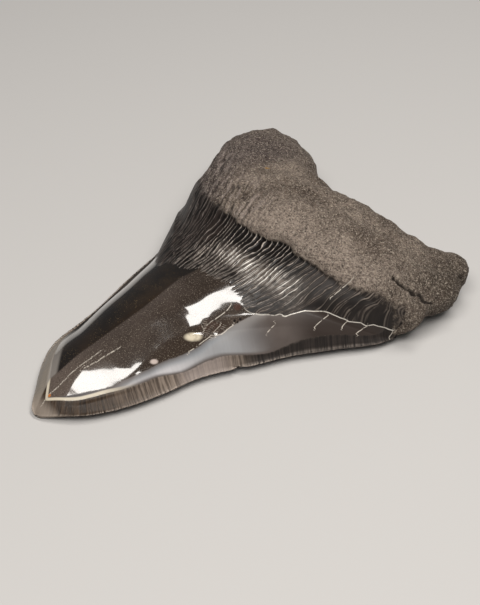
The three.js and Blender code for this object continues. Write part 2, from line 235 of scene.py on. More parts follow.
def waves(x, y, seed):
    """Smooth random heights from -1 to 1: random numbers on a square lattice of pitch 1,
    blended between the four corners with an S curve."""
    lattice = np.random.default_rng(seed).uniform(-1, 1, (LATTICE, LATTICE))
    x0, y0 = np.floor(x).astype(int), np.floor(y).astype(int)
    tx, ty = x - x0, y - y0
    tx, ty = tx * tx * (3 - 2 * tx), ty * ty * (3 - 2 * ty)

    def pick(i, j):
        return lattice[(x0 + i) % LATTICE, (y0 + j) % LATTICE]

    return lerp(lerp(pick(0, 0), pick(1, 0), tx), lerp(pick(0, 1), pick(1, 1), tx), ty)


def grain(x, y, size, seed, octaves=3, fade=0.55):
    """Waves of halving size added up, the largest of the given size in mm."""
    total, weight = 0.0, 1.0
    for octave in range(octaves):
        turn = 0.7 * octave
        u = (x * math.cos(turn) - y * math.sin(turn)) / size
        v = (x * math.sin(turn) + y * math.cos(turn)) / size
        total = total + weight * waves(u + 17.3 * octave, v + 5.1 * octave, seed + octave)
        weight *= fade
        size *= 0.5
    return total


def line_place(x, y, line):
    """Distance in plan from a broken line, the least over its straight pieces, and the length
    run along the line up to the nearest point."""
    best, nearest_run, run = np.full(np.shape(x), 1e9), np.zeros(np.shape(x)), 0.0
    for (ax, ay), (bx, by) in zip(line[:-1], line[1:]):
        rx, ry = bx - ax, by - ay
        length = math.hypot(rx, ry)
        share = clamp(((x - ax) * rx + (y - ay) * ry) / length ** 2)
        gap = np.hypot(x - ax - share * rx, y - ay - share * ry)
        nearest_run = np.where(gap < best, run + share * length, nearest_run)
        best = np.minimum(best, gap)
        run += length
    return best, nearest_run


def line_distance(x, y, line):
    return line_place(x, y, line)[0]


def beyond(x, y, line):
    """Signed distance from a line that runs from left to right, positive beyond it."""
    at = np.array(line, float)
    return np.sign(y - np.interp(x, at[:, 0], at[:, 1])) * line_distance(x, y, line)


def right_of(x, y, line):
    """Signed distance from a line along which y grows, positive to its right."""
    at = np.array(line, float)
    return np.sign(x - np.interp(y, at[:, 1], at[:, 0])) * line_distance(x, y, line)


def slanted(x, y, z):
    """Place on a plane that leans like the right side and faces the camera: u level along it
    and v up it, each the sum of the point's parts along that direction."""
    level = y * math.cos(SLANT_TURN) - x * math.sin(SLANT_TURN)
    return (x * math.cos(SLANT_TURN) + y * math.sin(SLANT_TURN),
            z * math.cos(SLANT_LEAN) + level * math.sin(SLANT_LEAN))


def nearest(x, y, lines):
    """Signed distance from the nearest of some short lines, bent to and fro by small waves so
    that they look torn. Along each line y grows."""
    x, y = x + 0.13 * waves(x, y, 81), y + 0.13 * waves(x, y, 82)
    best = np.full(np.shape(x), FAR)
    for line in lines:
        gap = right_of(x, y, line)
        best = np.where(np.abs(gap) < np.abs(best), gap, best)
    return best


# Outline

class Outline:
    """A curve through points, read by its share of length: between two points a cubic blends
    them with slopes taken from their neighbours (Catmull-Rom)."""

    def __init__(self, points, steps=80):
        p = np.array([points[0], *points, points[-1]], float)
        t = np.linspace(0, 1, steps, endpoint=False)[:, None]
        parts = []
        for a, b, c, d in zip(p[:-3], p[1:-2], p[2:-1], p[3:]):
            v0, v1 = (c - a) / 2, (d - b) / 2
            parts.append((2 * b - 2 * c + v0 + v1) * t ** 3
                         + (-3 * b + 3 * c - 2 * v0 - v1) * t ** 2 + v0 * t + b)
        self.line = np.vstack([*parts, p[-1:]])
        run = np.hypot(*np.diff(self.line, axis=0).T)
        self.share = np.concatenate([[0], np.cumsum(run)]) / run.sum()

    def at(self, share):
        return np.stack([np.interp(share, self.share, self.line[:, k]) for k in (0, 1)], -1)


SIDES = [[Outline(p) for p in (LEFT_BLADE, LEFT_NECK, LEFT_LOBE)],
         [Outline(p) for p in (RIGHT_BLADE, RIGHT_NECK, RIGHT_LOBE)]]
FAR_END = Outline(ROOT_END)


def on_side(side, station):
    """Point of one side's outline at each station: blade, neck end or lobe by its whole part."""
    station = np.asarray(station, float)
    piece = np.minimum(np.floor(station), 2)[..., None]
    blade, neck, lobe = (curve.at(station - k) for k, curve in enumerate(SIDES[side]))
    return np.where(piece == 0, blade, np.where(piece == 1, neck, lobe))


def plan(station, across):
    """Plan position of a station and a share across: a straight line between both outlines,
    dipped towards the tip in its middle, and bowed onto the far end over the root."""
    point = lerp(on_side(0, station), on_side(1, station), across[..., None])
    off = np.abs(2 * across - 1)
    dip = np.where(station < ENAMEL, ENAMEL_DIP * clamp(station) ** 1.25,
                   np.where(station < LEDGE, lerp(ENAMEL_DIP, LEDGE_DIP, station - ENAMEL),
                            LEDGE_DIP * clamp(END - station) ** 1.4))
    roundness = lerp(ENAMEL_ROUNDNESS, LEDGE_ROUNDNESS, smooth(station, ENAMEL, LEDGE))
    point[..., 1] -= dip * (1 - off ** roundness)
    straight = lerp(FAR_END.line[0], FAR_END.line[-1], across[..., None])
    bow = FAR_END.at(across) - straight
    return point + bow * smooth(station, LEDGE, END)[..., None]


def width_at(station):
    return np.hypot(*np.moveaxis(on_side(1, station) - on_side(0, station), -1, 0))


# Heights

def rootness(station):
    return 0.7 * smooth(station, ENAMEL, LEDGE) + 0.3 * smooth(station, LEDGE, LEDGE + 0.3)


def rim_height(station):
    return lerp(BLADE_EDGE_HEIGHT * smooth(station, -0.1, 0.12), ROOT_RIM_HEIGHT,
                smooth(station, ENAMEL + 0.3, LEDGE + 0.3))


def end_rounding(station, share):
    """1 well inside the root, falling to 0 at its far end in a quarter circle."""
    inside = clamp((END - station) / share)
    return np.sqrt(clamp(1 - (1 - inside) ** 2))


def crest_height(x, y):
    """The crown levels out along an exponential, and the root bulges behind the ledge."""
    crown = CROWN_HEIGHT * (1 - np.exp(-np.maximum(0, y) / CROWN_RISE))
    root = (ROOT_HEIGHT - ROOT_FALL * (1 - gauss(y - ROOT_BULGE_ALONG, ROOT_BULGE_REACH))
            - LOBE_FALL * smooth(x, *LOBE_FALL_OVER))
    return lerp(crown, root, smooth(y, *CROWN_TO_ROOT))


def cross_profile(off, station):
    """1 on the crest and 0 on the rim. The crown is a lens with a crease: 1 less a straight
    slope and a power of the share out from the crest. The root is a rounded box: 1 less a
    high power, then a root of that."""
    crease = lerp(*CREST_CREASES, clamp(station / ENAMEL))
    lens = clamp(1 - crease * off - (1 - crease) * off ** LENS_POWER, 0, 1) ** LENS_HOLLOW
    box = clamp(1 - off ** BOX_POWER) ** BOX_ROUND
    return lerp(lens, box, rootness(station))


def flank_depth(edge, station):
    """The enamel is flatter between the strip and a valley line, at most this far below the
    lens there, and the crown ends in a steeper roll of square-law depth inside it."""
    strip = np.interp(station, *STRIP_WIDTHS)
    valley = np.maximum(strip + 0.3, np.interp(station, *FLANK_REACHES))
    roll = clamp((valley + FLANK_ROLL - edge) / FLANK_ROLL) ** 2
    flat = clamp((edge - strip) / (valley - strip))
    return FLANK_DEPTH * smooth(station, 0.1, 0.5) * (1 - smooth(station, 0.8, 1)) \
        * np.minimum(roll, flat)


def crown_swells(x, y):
    """Broad low swells and dips of the crown that bend what it mirrors: soft round mounds."""
    return sum(height * np.exp(-((x - at_x) / reach_x) ** 2 - ((y - at_y) / reach_y) ** 2)
               for at_x, at_y, height, reach_x, reach_y in CROWN_SWELLS)


def swells(x, y):
    """Low swells of the worn root: four sine waves that never line up."""
    return (0.32 * np.sin(0.31 * x + 0.17 * y) + 0.26 * np.sin(0.47 * y - 0.21 * x + 1.3)
            + 0.2 * np.sin(0.83 * x - 0.29 * y + 4.1) + 0.16 * np.sin(0.61 * x + 1.07 * y + 2.2))


def fan_coordinate(x, y):
    """Growth ridges fan out from a straight one: their spacing grows by e every 67 mm, so
    this keeps one value along each ridge."""
    return (x - RIDGE_FAN_X) * np.exp(-RIDGE_FAN_RATE * (y - RIDGE_FAN_Y)) + RIDGE_FAN_X


def ridge_phase(x, y):
    """Turns of the ridges' wave, one for each spacing: it wanders slowly, more so on the left,
    where the ridges are wavy, and two neighbours join where the wander is steep."""
    u = fan_coordinate(x, y)
    wander = 0.5 * waves(u * 0.3, y * 0.07, 11) + 0.22 * waves(u * 0.8, y * 0.2, 15) \
        + 0.17 * waves(u * 1.7, y * 0.55, 19)
    return u / RIDGE_SPACING + wander * lerp(1, 1.7, smooth(-x, 4, 16))


def ridge_presence(x, y):
    """How far each ridge stands out, from 0 to 1, changing along and across them."""
    u = fan_coordinate(x, y)
    return smooth(waves(u * 0.9, y * 0.15, 21) + 0.4 * waves(u * 2.3, y * 0.3, 22), -0.7, 0.4)


def neck_ridges(x, y):
    """Thin crests from 0 to 1: the wave, sharpened, and faded in and out along its length."""
    crest = clamp(0.5 + 0.5 * np.sin(2 * np.pi * ridge_phase(x, y))) ** RIDGE_SHARPNESS
    return crest * lerp(0.35, 1, ridge_presence(x, y))


def root_grain(x, y):
    """Rough bone: coarse and fine grain, sunk pores where small waves peak, and fibres that
    run on from the neck's ridges as a sine wave, higher and longer on the left."""
    coarse = grain(x, y, COARSE_SIZE, 31, 3)
    fine = grain(x, y, FINE_SIZE, 37, 2)
    pores = smooth(waves(x / 0.85, y / 1.05, 41), 0.35, 0.8)
    u = fan_coordinate(x, y)
    fibre = np.sin(2 * np.pi * u / FIBRE_SPACING + 2.5 * grain(u * 0.4, y * 0.1, 1, 43, 2))
    on_left = smooth(-x, -8, 10)
    near_ledge = gauss(np.maximum(0, y - 76 - 0.1 * np.abs(x)), lerp(5, 14, on_left))
    return COARSE_HEIGHT * coarse + FINE_HEIGHT * fine - PORE_DEPTH * pores \
        + lerp(*FIBRE_HEIGHTS, on_left) * fibre * near_ledge


def root_relief(x, y, u, v):
    """Swells and grain of the root, less its crack and its single round pits."""
    relief = swells(x, y) + root_grain(x, y)
    relief -= CRACK_DEPTH * gauss(line_distance(u, v, ROOT_CRACK), CRACK_REACH)
    for mark_x, mark_y, depth, radius in ROOT_MARKS:
        relief -= depth * gauss(np.hypot(x - mark_x, y - mark_y), radius)
    return relief


def ledge_softness(x):
    """The ledge is a sharp step in its middle and a gentle slope towards both lobes."""
    return 0.35 + 7 * smooth(-x, 5, 18) + 3 * smooth(x, 20, 30)


def from_rim(x, y, station, off):
    """Distance from the nearer cutting edge, and the length run along that edge from the tip.
    Past the enamel line the distance passes into the one along the row."""
    edge, arc = (1 - off) * 0.5 * width_at(station), station * BLADE_LENGTH
    for side in SIDES:
        gap, run = line_place(x, y, side[0].line[::16])
        arc = np.where((station < ENAMEL + 0.5) & (gap < edge), run, arc)
        edge = lerp(np.minimum(gap, edge), edge, smooth(station, ENAMEL + 0.1, ENAMEL + 0.9))
    return edge, arc


def top_face(station, across):
    """Height and surface values of the convex face: the smooth form that the solid has, with
    swells and fine wear on the crown, ridges on the neck and relief on the root added to it."""
    point = plan(station, across)
    x, y = point[..., 0], point[..., 1]
    off = np.abs(2 * across - 1)
    skewed = across - np.interp(station, *CREST_SHIFT) * (1 - off ** 2)
    profile = cross_profile(np.abs(2 * skewed - 1), station) * end_rounding(station, TOP_ROUND)
    rim = rim_height(station)
    edge, arc = from_rim(x, y, station, off)
    z = rim + (crest_height(x, y) - rim) * profile
    strip = np.interp(station, *STRIP_WIDTHS)
    groove = smooth(edge, 0, 0.5) - smooth(edge, strip - 0.45, strip)
    z -= STRIP_DROP * (groove * (1 - rootness(station))) * clamp(station / 0.2)
    z -= flank_depth(edge, station)
    z += crown_swells(x, y) * smooth(edge, 0, 5)

    u, v = slanted(x, y, z)
    ragged = lerp(*ENAMEL_RAGGED, smooth(x, 17, 22))
    neck = lerp(beyond(x, y, NECK_LINE), beyond(u, v, RIM_LINE), smooth(x, *TO_RIM_LINE)) \
        + ragged * grain(x, y, ENAMEL_RAGGED_SIZE, 51, 3)
    shelf = beyond(x, y, LEDGE_LINE) + LEDGE_RAGGED * grain(x, y, LEDGE_RAGGED_SIZE, 53, 3)
    soft = ledge_softness(x)
    past_ledge = smooth(shelf, -0.5 * soft, soft)
    on_neck = smooth(neck, -0.1, 0.6) * (1 - past_ledge)
    inside = smooth(edge, 0.8, 6)
    grown = lerp(0.35, 1, smooth(neck, 0, 9)) * lerp(1, 0.55, smooth(x, 20, 28))
    z -= on_neck * inside * (NECK_DROP * smooth(neck, 0, 7) + ENAMEL_STEP
                             - RIDGE_HEIGHT * neck_ridges(x, y) * grown)
    z -= on_neck * RECESS_DEPTH * gauss(x - RECESS_X, RECESS_REACH) \
        * gauss(np.minimum(0, shelf + 0.5), RECESS_LENGTH)
    z += LEDGE_STEP * past_ledge * (1 - smooth(station, LEDGE + 0.05, END)) \
        * smooth(edge, 0.5, 8)
    z += past_ledge * root_relief(x, y, u, v) * clamp(2 * profile)
    z += BLADE_WEAR * grain(x, y, BLADE_WEAR_SIZE, 61, 2) * (1 - past_ledge) * clamp(edge / 3)

    values = {"edge": edge, "arc": arc, "phase": ridge_phase(x, y),
              "ridge": ridge_presence(x, y) * grown * inside,
              "strip": strip - edge,
              "flank": np.where(x > 0, right_of(x, y, FLANK_LINE),
                                np.interp(station, *FLANK_REACHES) - edge),
              "neck": neck, "shelf": shelf, "bone": past_ledge,
              "crest": right_of(x, y, CREST_LINE), "dark_crack": nearest(u, v, DARK_CRACKS),
              "pale_crack": nearest(u, v, PALE_CRACKS),
              "scratch": nearest(x, y, TIP_SCRATCHES)}
    values.update({name + "_gap": np.abs(values[name]) for name in DRAWN})
    return point, z, values


def under_face(station, across):
    """The flatter lower face: it rests on the root and near the tip and is hollow between."""
    point = plan(station, across)
    off = np.abs(2 * across - 1)
    cover = lerp(1 - off ** 2.2, np.sqrt(clamp(1 - off ** 5)), rootness(station)) \
        * end_rounding(station, UNDER_ROUND)
    seated = rim_height(station) * np.maximum(0, 1 - 1.08 * cover)
    reach = clamp((point[..., 1] - 12) / 64)
    z = seated + UNDER_HOLLOW * np.sin(np.pi * reach) ** 2 * cover
    rough = root_grain(point[..., 0], point[..., 1]) * smooth(station, LEDGE, LEDGE + 0.2)
    z = z + np.maximum(0, rough) * clamp(z, 0, 1)
    return point, z, plain_values(station, (1 - off) * 0.5 * width_at(station), point[..., 0])


def plain_values(station, edge, x):
    """Surface values where no lines are drawn: neck and ledge by station."""
    none = FAR + 0 * edge
    return {"edge": edge, "arc": station * BLADE_LENGTH + 0 * edge, "phase": x / RIDGE_SPACING,
            "ridge": 0 * edge, "strip": np.interp(station, *STRIP_WIDTHS) - edge,
            "flank": np.interp(station, *FLANK_REACHES) - edge,
            "neck": (station - ENAMEL) * ROW_SPREAD, "shelf": (station - LEDGE) * ROW_SPREAD,
            "bone": smooth(station, LEDGE - 0.1, LEDGE + 0.1), "crest": x,
            **{name: none for name in DRAWN}, **{name + "_gap": none for name in DRAWN}}


# Mesh of the tooth

def add_object(name, data):
    """A new object of the scene that carries a mesh, a lamp or a camera."""
    thing = bpy.data.objects.new(name, data)
    bpy.context.scene.collection.objects.link(thing)
    return thing


def row_stations():
    """Even rows on the crown, denser ones over neck and root, a turned far end. The enamel
    line and the ledge each lie just between two rows."""
    crown = np.linspace(0, ENAMEL - 0.006, CROWN_ROWS)
    neck = np.linspace(ENAMEL + 0.006, LEDGE - 0.01, NECK_ROWS)
    root = np.linspace(LEDGE + 0.005, END - TOP_ROUND, ROOT_ROWS, endpoint=False)
    turn = np.linspace(math.pi / 2, 0, ROUND_ROWS + 1)
    return np.concatenate([crown, neck, root, END - TOP_ROUND * (1 - np.cos(turn))])


def inset_share(station, inset):
    """An inset in mm as a share across, less where the tooth is narrow."""
    return np.minimum(0.06 * inset, inset / np.maximum(width_at(station), 1))


def column_shares(station, columns, inset):
    """Shares across for one row's inner columns: the first and last lie inset mm inside the
    rim, the others are spread between them and crowd a little towards both sides."""
    even = np.linspace(0, 1, columns - 1)
    eased = lerp(even, (1 - np.cos(np.pi * even)) / 2, 0.25)
    first = inset_share(station, inset)
    return lerp(first[:, None], 1 - first[:, None], eased[None, :])


class Skin:
    """Collects points with their values and faces by their numbers."""

    def __init__(self):
        self.points, self.values, self.faces, self.count = [], [], [], 0

    def add(self, xy, z, values):
        """Points of any layout; their numbers come back in the same layout."""
        block = np.concatenate([xy.reshape(-1, 2), z.reshape(-1, 1)], 1)
        self.points.append(block)
        self.values.append({k: np.broadcast_to(v, z.shape).ravel() for k, v in values.items()})
        numbers = np.arange(self.count, self.count + len(block)).reshape(z.shape)
        self.count += len(block)
        return numbers

    def put(self, corners, flip):
        """Faces by their corners, without those that have one corner twice."""
        corners = corners[(np.diff(np.sort(corners, axis=1), axis=1) > 0).all(axis=1)]
        self.faces.extend((corners[:, ::-1] if flip else corners).tolist())

    def quads(self, grid, flip):
        """The squares of a grid of point numbers."""
        corners = np.stack([grid[:-1, :-1], grid[:-1, 1:], grid[1:, 1:], grid[1:, :-1]], -1)
        self.put(corners.reshape(-1, 4), flip)

    def from_tip(self, grid, flip):
        """A grid whose first row is the tip alone."""
        self.put(np.stack([grid[0, 1:], grid[1, 1:], grid[1, :-1]], -1), flip)
        self.quads(grid[1:], flip)

    def fan(self, coarse, fine, flip):
        """One strip of triangles between a coarse line and a finer one beside it."""
        steps, finer = len(coarse) - 1, len(fine) - 1
        place = (np.arange(finer) + 0.5) * steps / finer
        near = coarse[np.floor(place + 0.5).astype(int)]
        self.put(np.stack([near, fine[1:], fine[:-1]], -1), flip)
        halfway = np.ceil((np.arange(steps) + 0.5) * finer / steps - 0.5).astype(int)
        self.put(np.stack([coarse[:-1], coarse[1:], fine[halfway]], -1), flip)


def side_stations(rows):
    """Stations and tooth counts along a rim: eight points a row on the crown, then one."""
    per_row = TEETH_PER_ROW * POINTS_PER_TOOTH
    steps = np.arange((CROWN_ROWS - 1) * per_row + 1) / per_row
    station = np.interp(steps, np.arange(CROWN_ROWS), rows[:CROWN_ROWS])
    teeth = steps * TEETH_PER_ROW
    rest = rows[CROWN_ROWS:-1]
    return np.concatenate([station, rest]), np.concatenate([teeth, 0 * rest])


def saw(station, teeth, side):
    """0 in the cut between two saw teeth and 1 on a tooth, in a rounded hump whose height
    varies from tooth to tooth; worn off at the tip and the shoulder."""
    worn = smooth(station, 0.06, 0.2) * (1 - smooth(station, 0.96, 1))
    size = 0.8 + 0.3 * waves(np.floor(teeth) * 0.77, 0 * teeth + side * 9, 71)
    return worn * size * np.sin(np.pi * (teeth % 1)) ** 0.8


def side_line(skin, side, rows, inset):
    """A line of points beside one rim, without the tip: inset 0 is the rim with its saw teeth,
    and others lie that far in from it on the top face, where the cuts between them run out."""
    station, teeth = side_stations(rows)
    rim = on_side(side, station)
    tangent = np.gradient(rim, axis=0)
    tangent /= np.maximum(np.hypot(tangent[:, 0], tangent[:, 1]), 1e-9)[:, None]
    outward = (1 if side else -1) * np.stack([tangent[:, 1], -tangent[:, 0]], -1)
    hump = saw(station, teeth, side)
    on_blade = smooth(station, 0.03, 0.2) * (1 - smooth(station, 0.95, 1))
    push = SAW_DEPTH * hump + RIM_WEAR * waves(station * 14, 0 * station, 73 + side) * on_blade
    if side:
        push = push - CHIP_DEPTH * gauss(rim[:, 1] - CHIP_ALONG, CHIP_REACH)
    if inset == 0:
        keep, xy, z = 1.0, rim, rim_height(station)
        values = plain_values(station, 0 * station, rim[:, 0])
    else:
        keep = gauss(inset, SAW_FADE)
        share = inset_share(station, inset)
        xy, z, values = top_face(station, 1 - share if side else share)
        z = z - SAW_CUT * (1 - hump) * on_blade * keep
    xy = xy + outward * (push * keep)[:, None]
    values["saw"] = hump * keep
    return skin.add(xy[1:], z[1:], {k: v[1:] for k, v in values.items()})


def build_tooth():
    """Both faces on one rim: inner grids, fine lines along the saw teeth, fans between."""
    skin = Skin()
    rows = row_stations()
    last = len(rows) - 1
    crown_steps = (CROWN_ROWS - 1) * TEETH_PER_ROW * POINTS_PER_TOOTH
    zero = np.zeros(1)
    tip = skin.add(SIDES[0][0].at(zero), rim_height(zero),
                   {**plain_values(zero, zero, zero), "saw": zero})[0]

    def whole_line(side, inset):
        return np.concatenate([[tip], side_line(skin, side, rows, inset)])

    def face(shape, columns, stride, inset, sides, flip):
        """One face inside two side lines; the numbers of its last row come back."""
        inner = rows[stride:last:stride]
        shares = column_shares(inner, columns, inset)
        xy, z, values = shape(np.broadcast_to(inner[:, None], shares.shape), shares)
        values["saw"] = 0.4 * (1 - smooth(values["edge"], 0.5, 2))
        grid = skin.add(xy, z, values)
        grid = np.vstack([np.full(columns - 1, tip), grid])
        skin.from_tip(grid, flip)
        crown = (CROWN_ROWS - 1) // stride
        for side in (0, 1):
            column = grid[:, -side]
            turn = flip != (side == 1)
            skin.fan(column[:crown + 1], sides[side][:crown_steps + 1], turn)
            skin.fan(column[crown:], sides[side][crown_steps:], turn)
        return grid[-1]

    rims = [whole_line(side, 0) for side in (0, 1)]
    beside = inset_share(rows[-1:], np.array(EDGE_INSETS))
    end_shares = np.concatenate([[0], beside, column_shares(rows[-1:], TOP_COLUMNS, TOP_INSET)[0],
                                 1 - beside[::-1], [1]])
    end_station = np.full(len(end_shares), END)
    end_xy = plan(end_station, end_shares)
    end = skin.add(end_xy, rim_height(end_station),
                   {**plain_values(end_station, 0 * end_station, end_xy[:, 0]),
                    "saw": 0 * end_station})

    lines = [[rim] for rim in rims]
    for side in (0, 1):
        for inset in EDGE_INSETS:
            line = whole_line(side, inset)
            band = [line, lines[side][-1]] if side else [lines[side][-1], line]
            skin.from_tip(np.stack(band, 1), False)
            lines[side].append(line)
    top = face(top_face, TOP_COLUMNS, 1, TOP_INSET, [side[-1] for side in lines], False)
    under = face(under_face, UNDER_COLUMNS, 2, UNDER_INSET, rims, True)
    left_ends, right_ends = ([line[-1] for line in side] for side in lines)
    skin.fan(np.concatenate([left_ends, top, right_ends[::-1]]), end, False)
    skin.fan(under, end, True)
    skin.put(np.array([[rims[0][-1], under[0], end[0]], [under[-1], rims[1][-1], end[-1]]]), True)
    return skin


def weathered(points, bone):
    """The root's points pushed to and fro in plan by small waves, so its outline is rugged,
    and drawn in at a broken notch of the right lobe."""
    x, y, z = points.T
    push = np.stack([grain(x + z, y - z, WEATHERING_SIZE, 91, 2),
                     grain(x - z, y + z, WEATHERING_SIZE, 95, 2), 0 * z], -1)
    push *= WEATHERING * (1 + smooth(x, 36, 43))[:, None]
    push[:, 0] -= NOTCH_DEPTH * gauss(np.hypot(x - NOTCH_X, y - NOTCH_Y), NOTCH_REACH)
    return points + push * bone[:, None]


def mesh_from(name, skin):
    """The piece at its true size and place, with each surface value as a mesh attribute."""
    bone = np.concatenate([v["bone"] for v in skin.values])
    points = weathered(np.vstack(skin.points), bone) - (MIDDLE_X, MIDDLE_Y, 0)
    mesh = bpy.data.meshes.new(name)
    mesh.from_pydata((points * MM).tolist(), [], skin.faces)
    for key in skin.values[0]:
        layer = mesh.attributes.new(key, "FLOAT", "POINT")
        layer.data.foreach_set("value", np.concatenate([v[key] for v in skin.values]))
    mesh.shade_smooth()
    mesh.update()
    return add_object(name, mesh)


# Shader sheet

class Wire:
    """One shader socket; arithmetic on it adds Math nodes."""

    def __init__(self, sheet, socket):
        self.sheet, self.socket = sheet, socket

    def _math(self, operation, *others):
        return self.sheet.node("ShaderNodeMath", {"operation": operation}, *others).out()

    def __add__(self, other):
        return self._math("ADD", self, other)

    def __sub__(self, other):
        return self._math("SUBTRACT", self, other)

    def __rsub__(self, other):
        return self._math("SUBTRACT", other, self)

    def __mul__(self, other):
        return self._math("MULTIPLY", self, other)

    __radd__ = __add__
    __rmul__ = __mul__

    def most(self, other):
        return self._math("MAXIMUM", self, other)

    def size(self):
        return self._math("ABSOLUTE", self)

    def sine(self):
        return self._math("SINE", self)

    def soft(self, low, high):
        """0 at low and 1 at high with an S between; low may be the larger of the two."""
        return self.sheet.node("ShaderNodeMapRange", {"interpolation_type": "SMOOTHSTEP"},
                               self, low, high, 0.0, 1.0).out()

    def thin(self, half_width):
        """1 along the line where this signed distance is 0, falling to 0 beside it."""
        return self.size().soft(half_width, half_width * 0.35)


class Made:
    """One shader node, for its outputs."""

    def __init__(self, sheet, node):
        self.sheet, self.node = sheet, node

    def out(self, name=0):
        return Wire(self.sheet, self.node.outputs[name])


class Sheet:
    """The node tree of one material."""

    def __init__(self, name):
        self.material = bpy.data.materials.new(name)
        self.material.use_nodes = True
        self.tree = self.material.node_tree
        self.tree.nodes.clear()

    def node(self, kind, settings=None, *by_place, **by_name):
        """A node of one type: its settings first, then its sockets by place or by name."""
        node = self.tree.nodes.new(kind)
        for key, value in (settings or {}).items():
            setattr(node, key, value)
        for key, value in [*enumerate(by_place), *by_name.items()]:
            self.feed(node.inputs[key if isinstance(key, int) else key.replace("_", " ")], value)
        return Made(self, node)

    def feed(self, socket, value):
        """Links a wire to a socket, or sets the socket to a plain value."""
        if isinstance(value, Wire):
            self.tree.links.new(value.socket, socket)
        else:
            socket.default_value = value

    def attribute(self, name):
        return self.node("ShaderNodeAttribute", {"attribute_name": name}).out("Fac")

    def line(self, name, half_width):
        """1 along a drawn line: near its zero, and not where its sign flips past the ends."""
        return self.attribute(name).thin(half_width) * self.attribute(name + "_gap").soft(1.1, 0.8)

    def noise(self, vector, size, detail=2.0, roughness=0.5):
        """Noise whose largest lumps are about this many mm, on a place in metres."""
        return self.node("ShaderNodeTexNoise", {"noise_dimensions": "3D"}, Vector=vector,
                         Scale=PER_METRE / size, Detail=detail, Roughness=roughness).out("Fac")

    def streaks(self, a, b, size, roughness=0.6):
        """Noise on two values used as a flat place, drawn out along the slower one."""
        flat = self.node("ShaderNodeCombineXYZ", None, a, b, 0.0).out()
        return self.noise(flat, size, 3, roughness)

    def along(self, place, direction):
        """Length in mm along a direction, counted as in plan space."""
        made = self.node("ShaderNodeVectorMath", {"operation": "DOT_PRODUCT"}, place, direction)
        return made.out("Value") * PER_METRE + (MIDDLE_X * direction[0] + MIDDLE_Y * direction[1])

    def blend(self, share, first, second):
        """The first colour, giving way to the second one by its share."""
        made = self.node("ShaderNodeMix", {"data_type": "RGBA"})
        for key, value in ((0, share), (6, first), (7, second)):
            self.feed(made.node.inputs[key], value)
        return made.out(2)

    def layers(self, base, *coats):
        """A colour with others laid over it in turn, each a pair of its share and its tone."""
        for share, tone in coats:
            base = self.blend(share, base, tone)
        return base

    def surface(self, **by_name):
        """The finished material, from the sockets of its one surface shader."""
        shader = self.node("ShaderNodeBsdfPrincipled", None, **by_name)
        self.node("ShaderNodeOutputMaterial", None, shader.out("BSDF"))
        return self.material


def spot(a, b, at_a, at_b, radius, stretch=1.0):
    """1 in the middle of a spot and 0 from its radius outwards, wider along a if stretched."""
    from_a, from_b = (a - at_a) * (1 / stretch), b - at_b
    return (from_a * from_a + from_b * from_b).soft(radius ** 2, (radius * 0.35) ** 2)


def colour(r, g, b):
    """Screen values of 0 to 255 as the linear colour that shaders use."""
    return tuple(((c / 255 + 0.055) / 1.055) ** 2.4 if c > 10 else c / 3294.6
                 for c in (r, g, b)) + (1.0,)


class Masks:
    """Places in mm, noises and masks that the fossil's colours share. Most masks come from the
    signed distances that the mesh carries, made a little ragged by noise."""

    def __init__(self, s):
        place = s.node("ShaderNodeTexCoord").out("Object")
        split = s.node("ShaderNodeSeparateXYZ", None, place)
        x = self.x = split.out("X") * PER_METRE + MIDDLE_X
        y = self.y = split.out("Y") * PER_METRE + MIDDLE_Y
        level = math.cos(SLANT_TURN), math.sin(SLANT_TURN), 0.0
        steep = (-level[1] * math.sin(SLANT_LEAN), level[0] * math.sin(SLANT_LEAN),
                 math.cos(SLANT_LEAN))
        self.u, self.v = s.along(place, level), s.along(place, steep)
        for name in ("edge", "neck", "shelf", "flank", "crest", "saw"):
            setattr(self, name, s.attribute(name))
        self.strip = s.attribute("strip") + y.soft(26, 16) * 0.45
        phase, ridge, arc = (s.attribute(name) for name in ("phase", "ridge", "arc"))

        self.cloud, self.patch = s.noise(place, 11, 3), s.noise(place, 4, 3)
        fine = self.fine = s.noise(place, 1.1, 3, 0.6)
        self.dust, self.grit = s.noise(place, 0.25, 2, 0.5), s.noise(place, 0.45, 4, 0.75)
        streak = self.streak = s.streaks(phase * 0.001, y * 0.00012, 0.7)
        broken = self.broken = s.streaks(phase * 0.002, y * 0.0007, 0.9)
        self.ticks = s.streaks(arc * 0.001, self.edge * 0.0001, 0.6, 0.65)

        self.bone = (s.attribute("bone") + fine * 0.3 - 0.15).soft(0.12, 0.4)
        fringe = (streak - 0.5) * x.soft(19, 12) * 6
        neck_edge = (self.neck + fine * 0.5 - 0.25 + fringe).soft(-0.1, 0.25)
        self.on_neck, self.crown = neck_edge * (1 - self.bone), 1 - neck_edge
        self.in_strip = self.crown * (self.strip + fine * 0.3 - 0.15).soft(-0.12, 0.12)
        self.in_flank = self.crown * (1 - self.in_strip) \
            * (self.flank + fine * 0.3 - 0.15).soft(-0.15, 0.15)
        self.right_side = self.crest.soft(-0.3, 0.3)

        # The neck's ridges as thin threads with hairs between, and lit, a painted highlight that
        # makes them look as if they caught the light in one band
        lit = (y - 64.5 - x.soft(8, 20) * 3.5).size().soft(5, 0.5) * x.soft(-6, 2) * x.soft(25, 18)
        wave, double = (phase * (2 * math.pi)).sine(), (phase * (4 * math.pi) + 2.0).sine()
        hair = double.soft(0.7, 0.99) * self.neck.soft(14, 7) * streak.soft(0.4, 0.6) \
            * (0.35 + 0.45 * x.soft(20, 10))
        # In the painted highlight's band the threads are also drawn wider and less broken
        threads = ((wave + lit * 0.08).soft(0.84, 0.99) * (0.3 + 0.7 * ridge)).most(hair)
        self.lit = lit
        self.threads = threads * (0.3 + 0.7 * (broken + lit * 0.08).soft(0.36, 0.58))


# In the colour functions, s is the sheet and m its Masks.

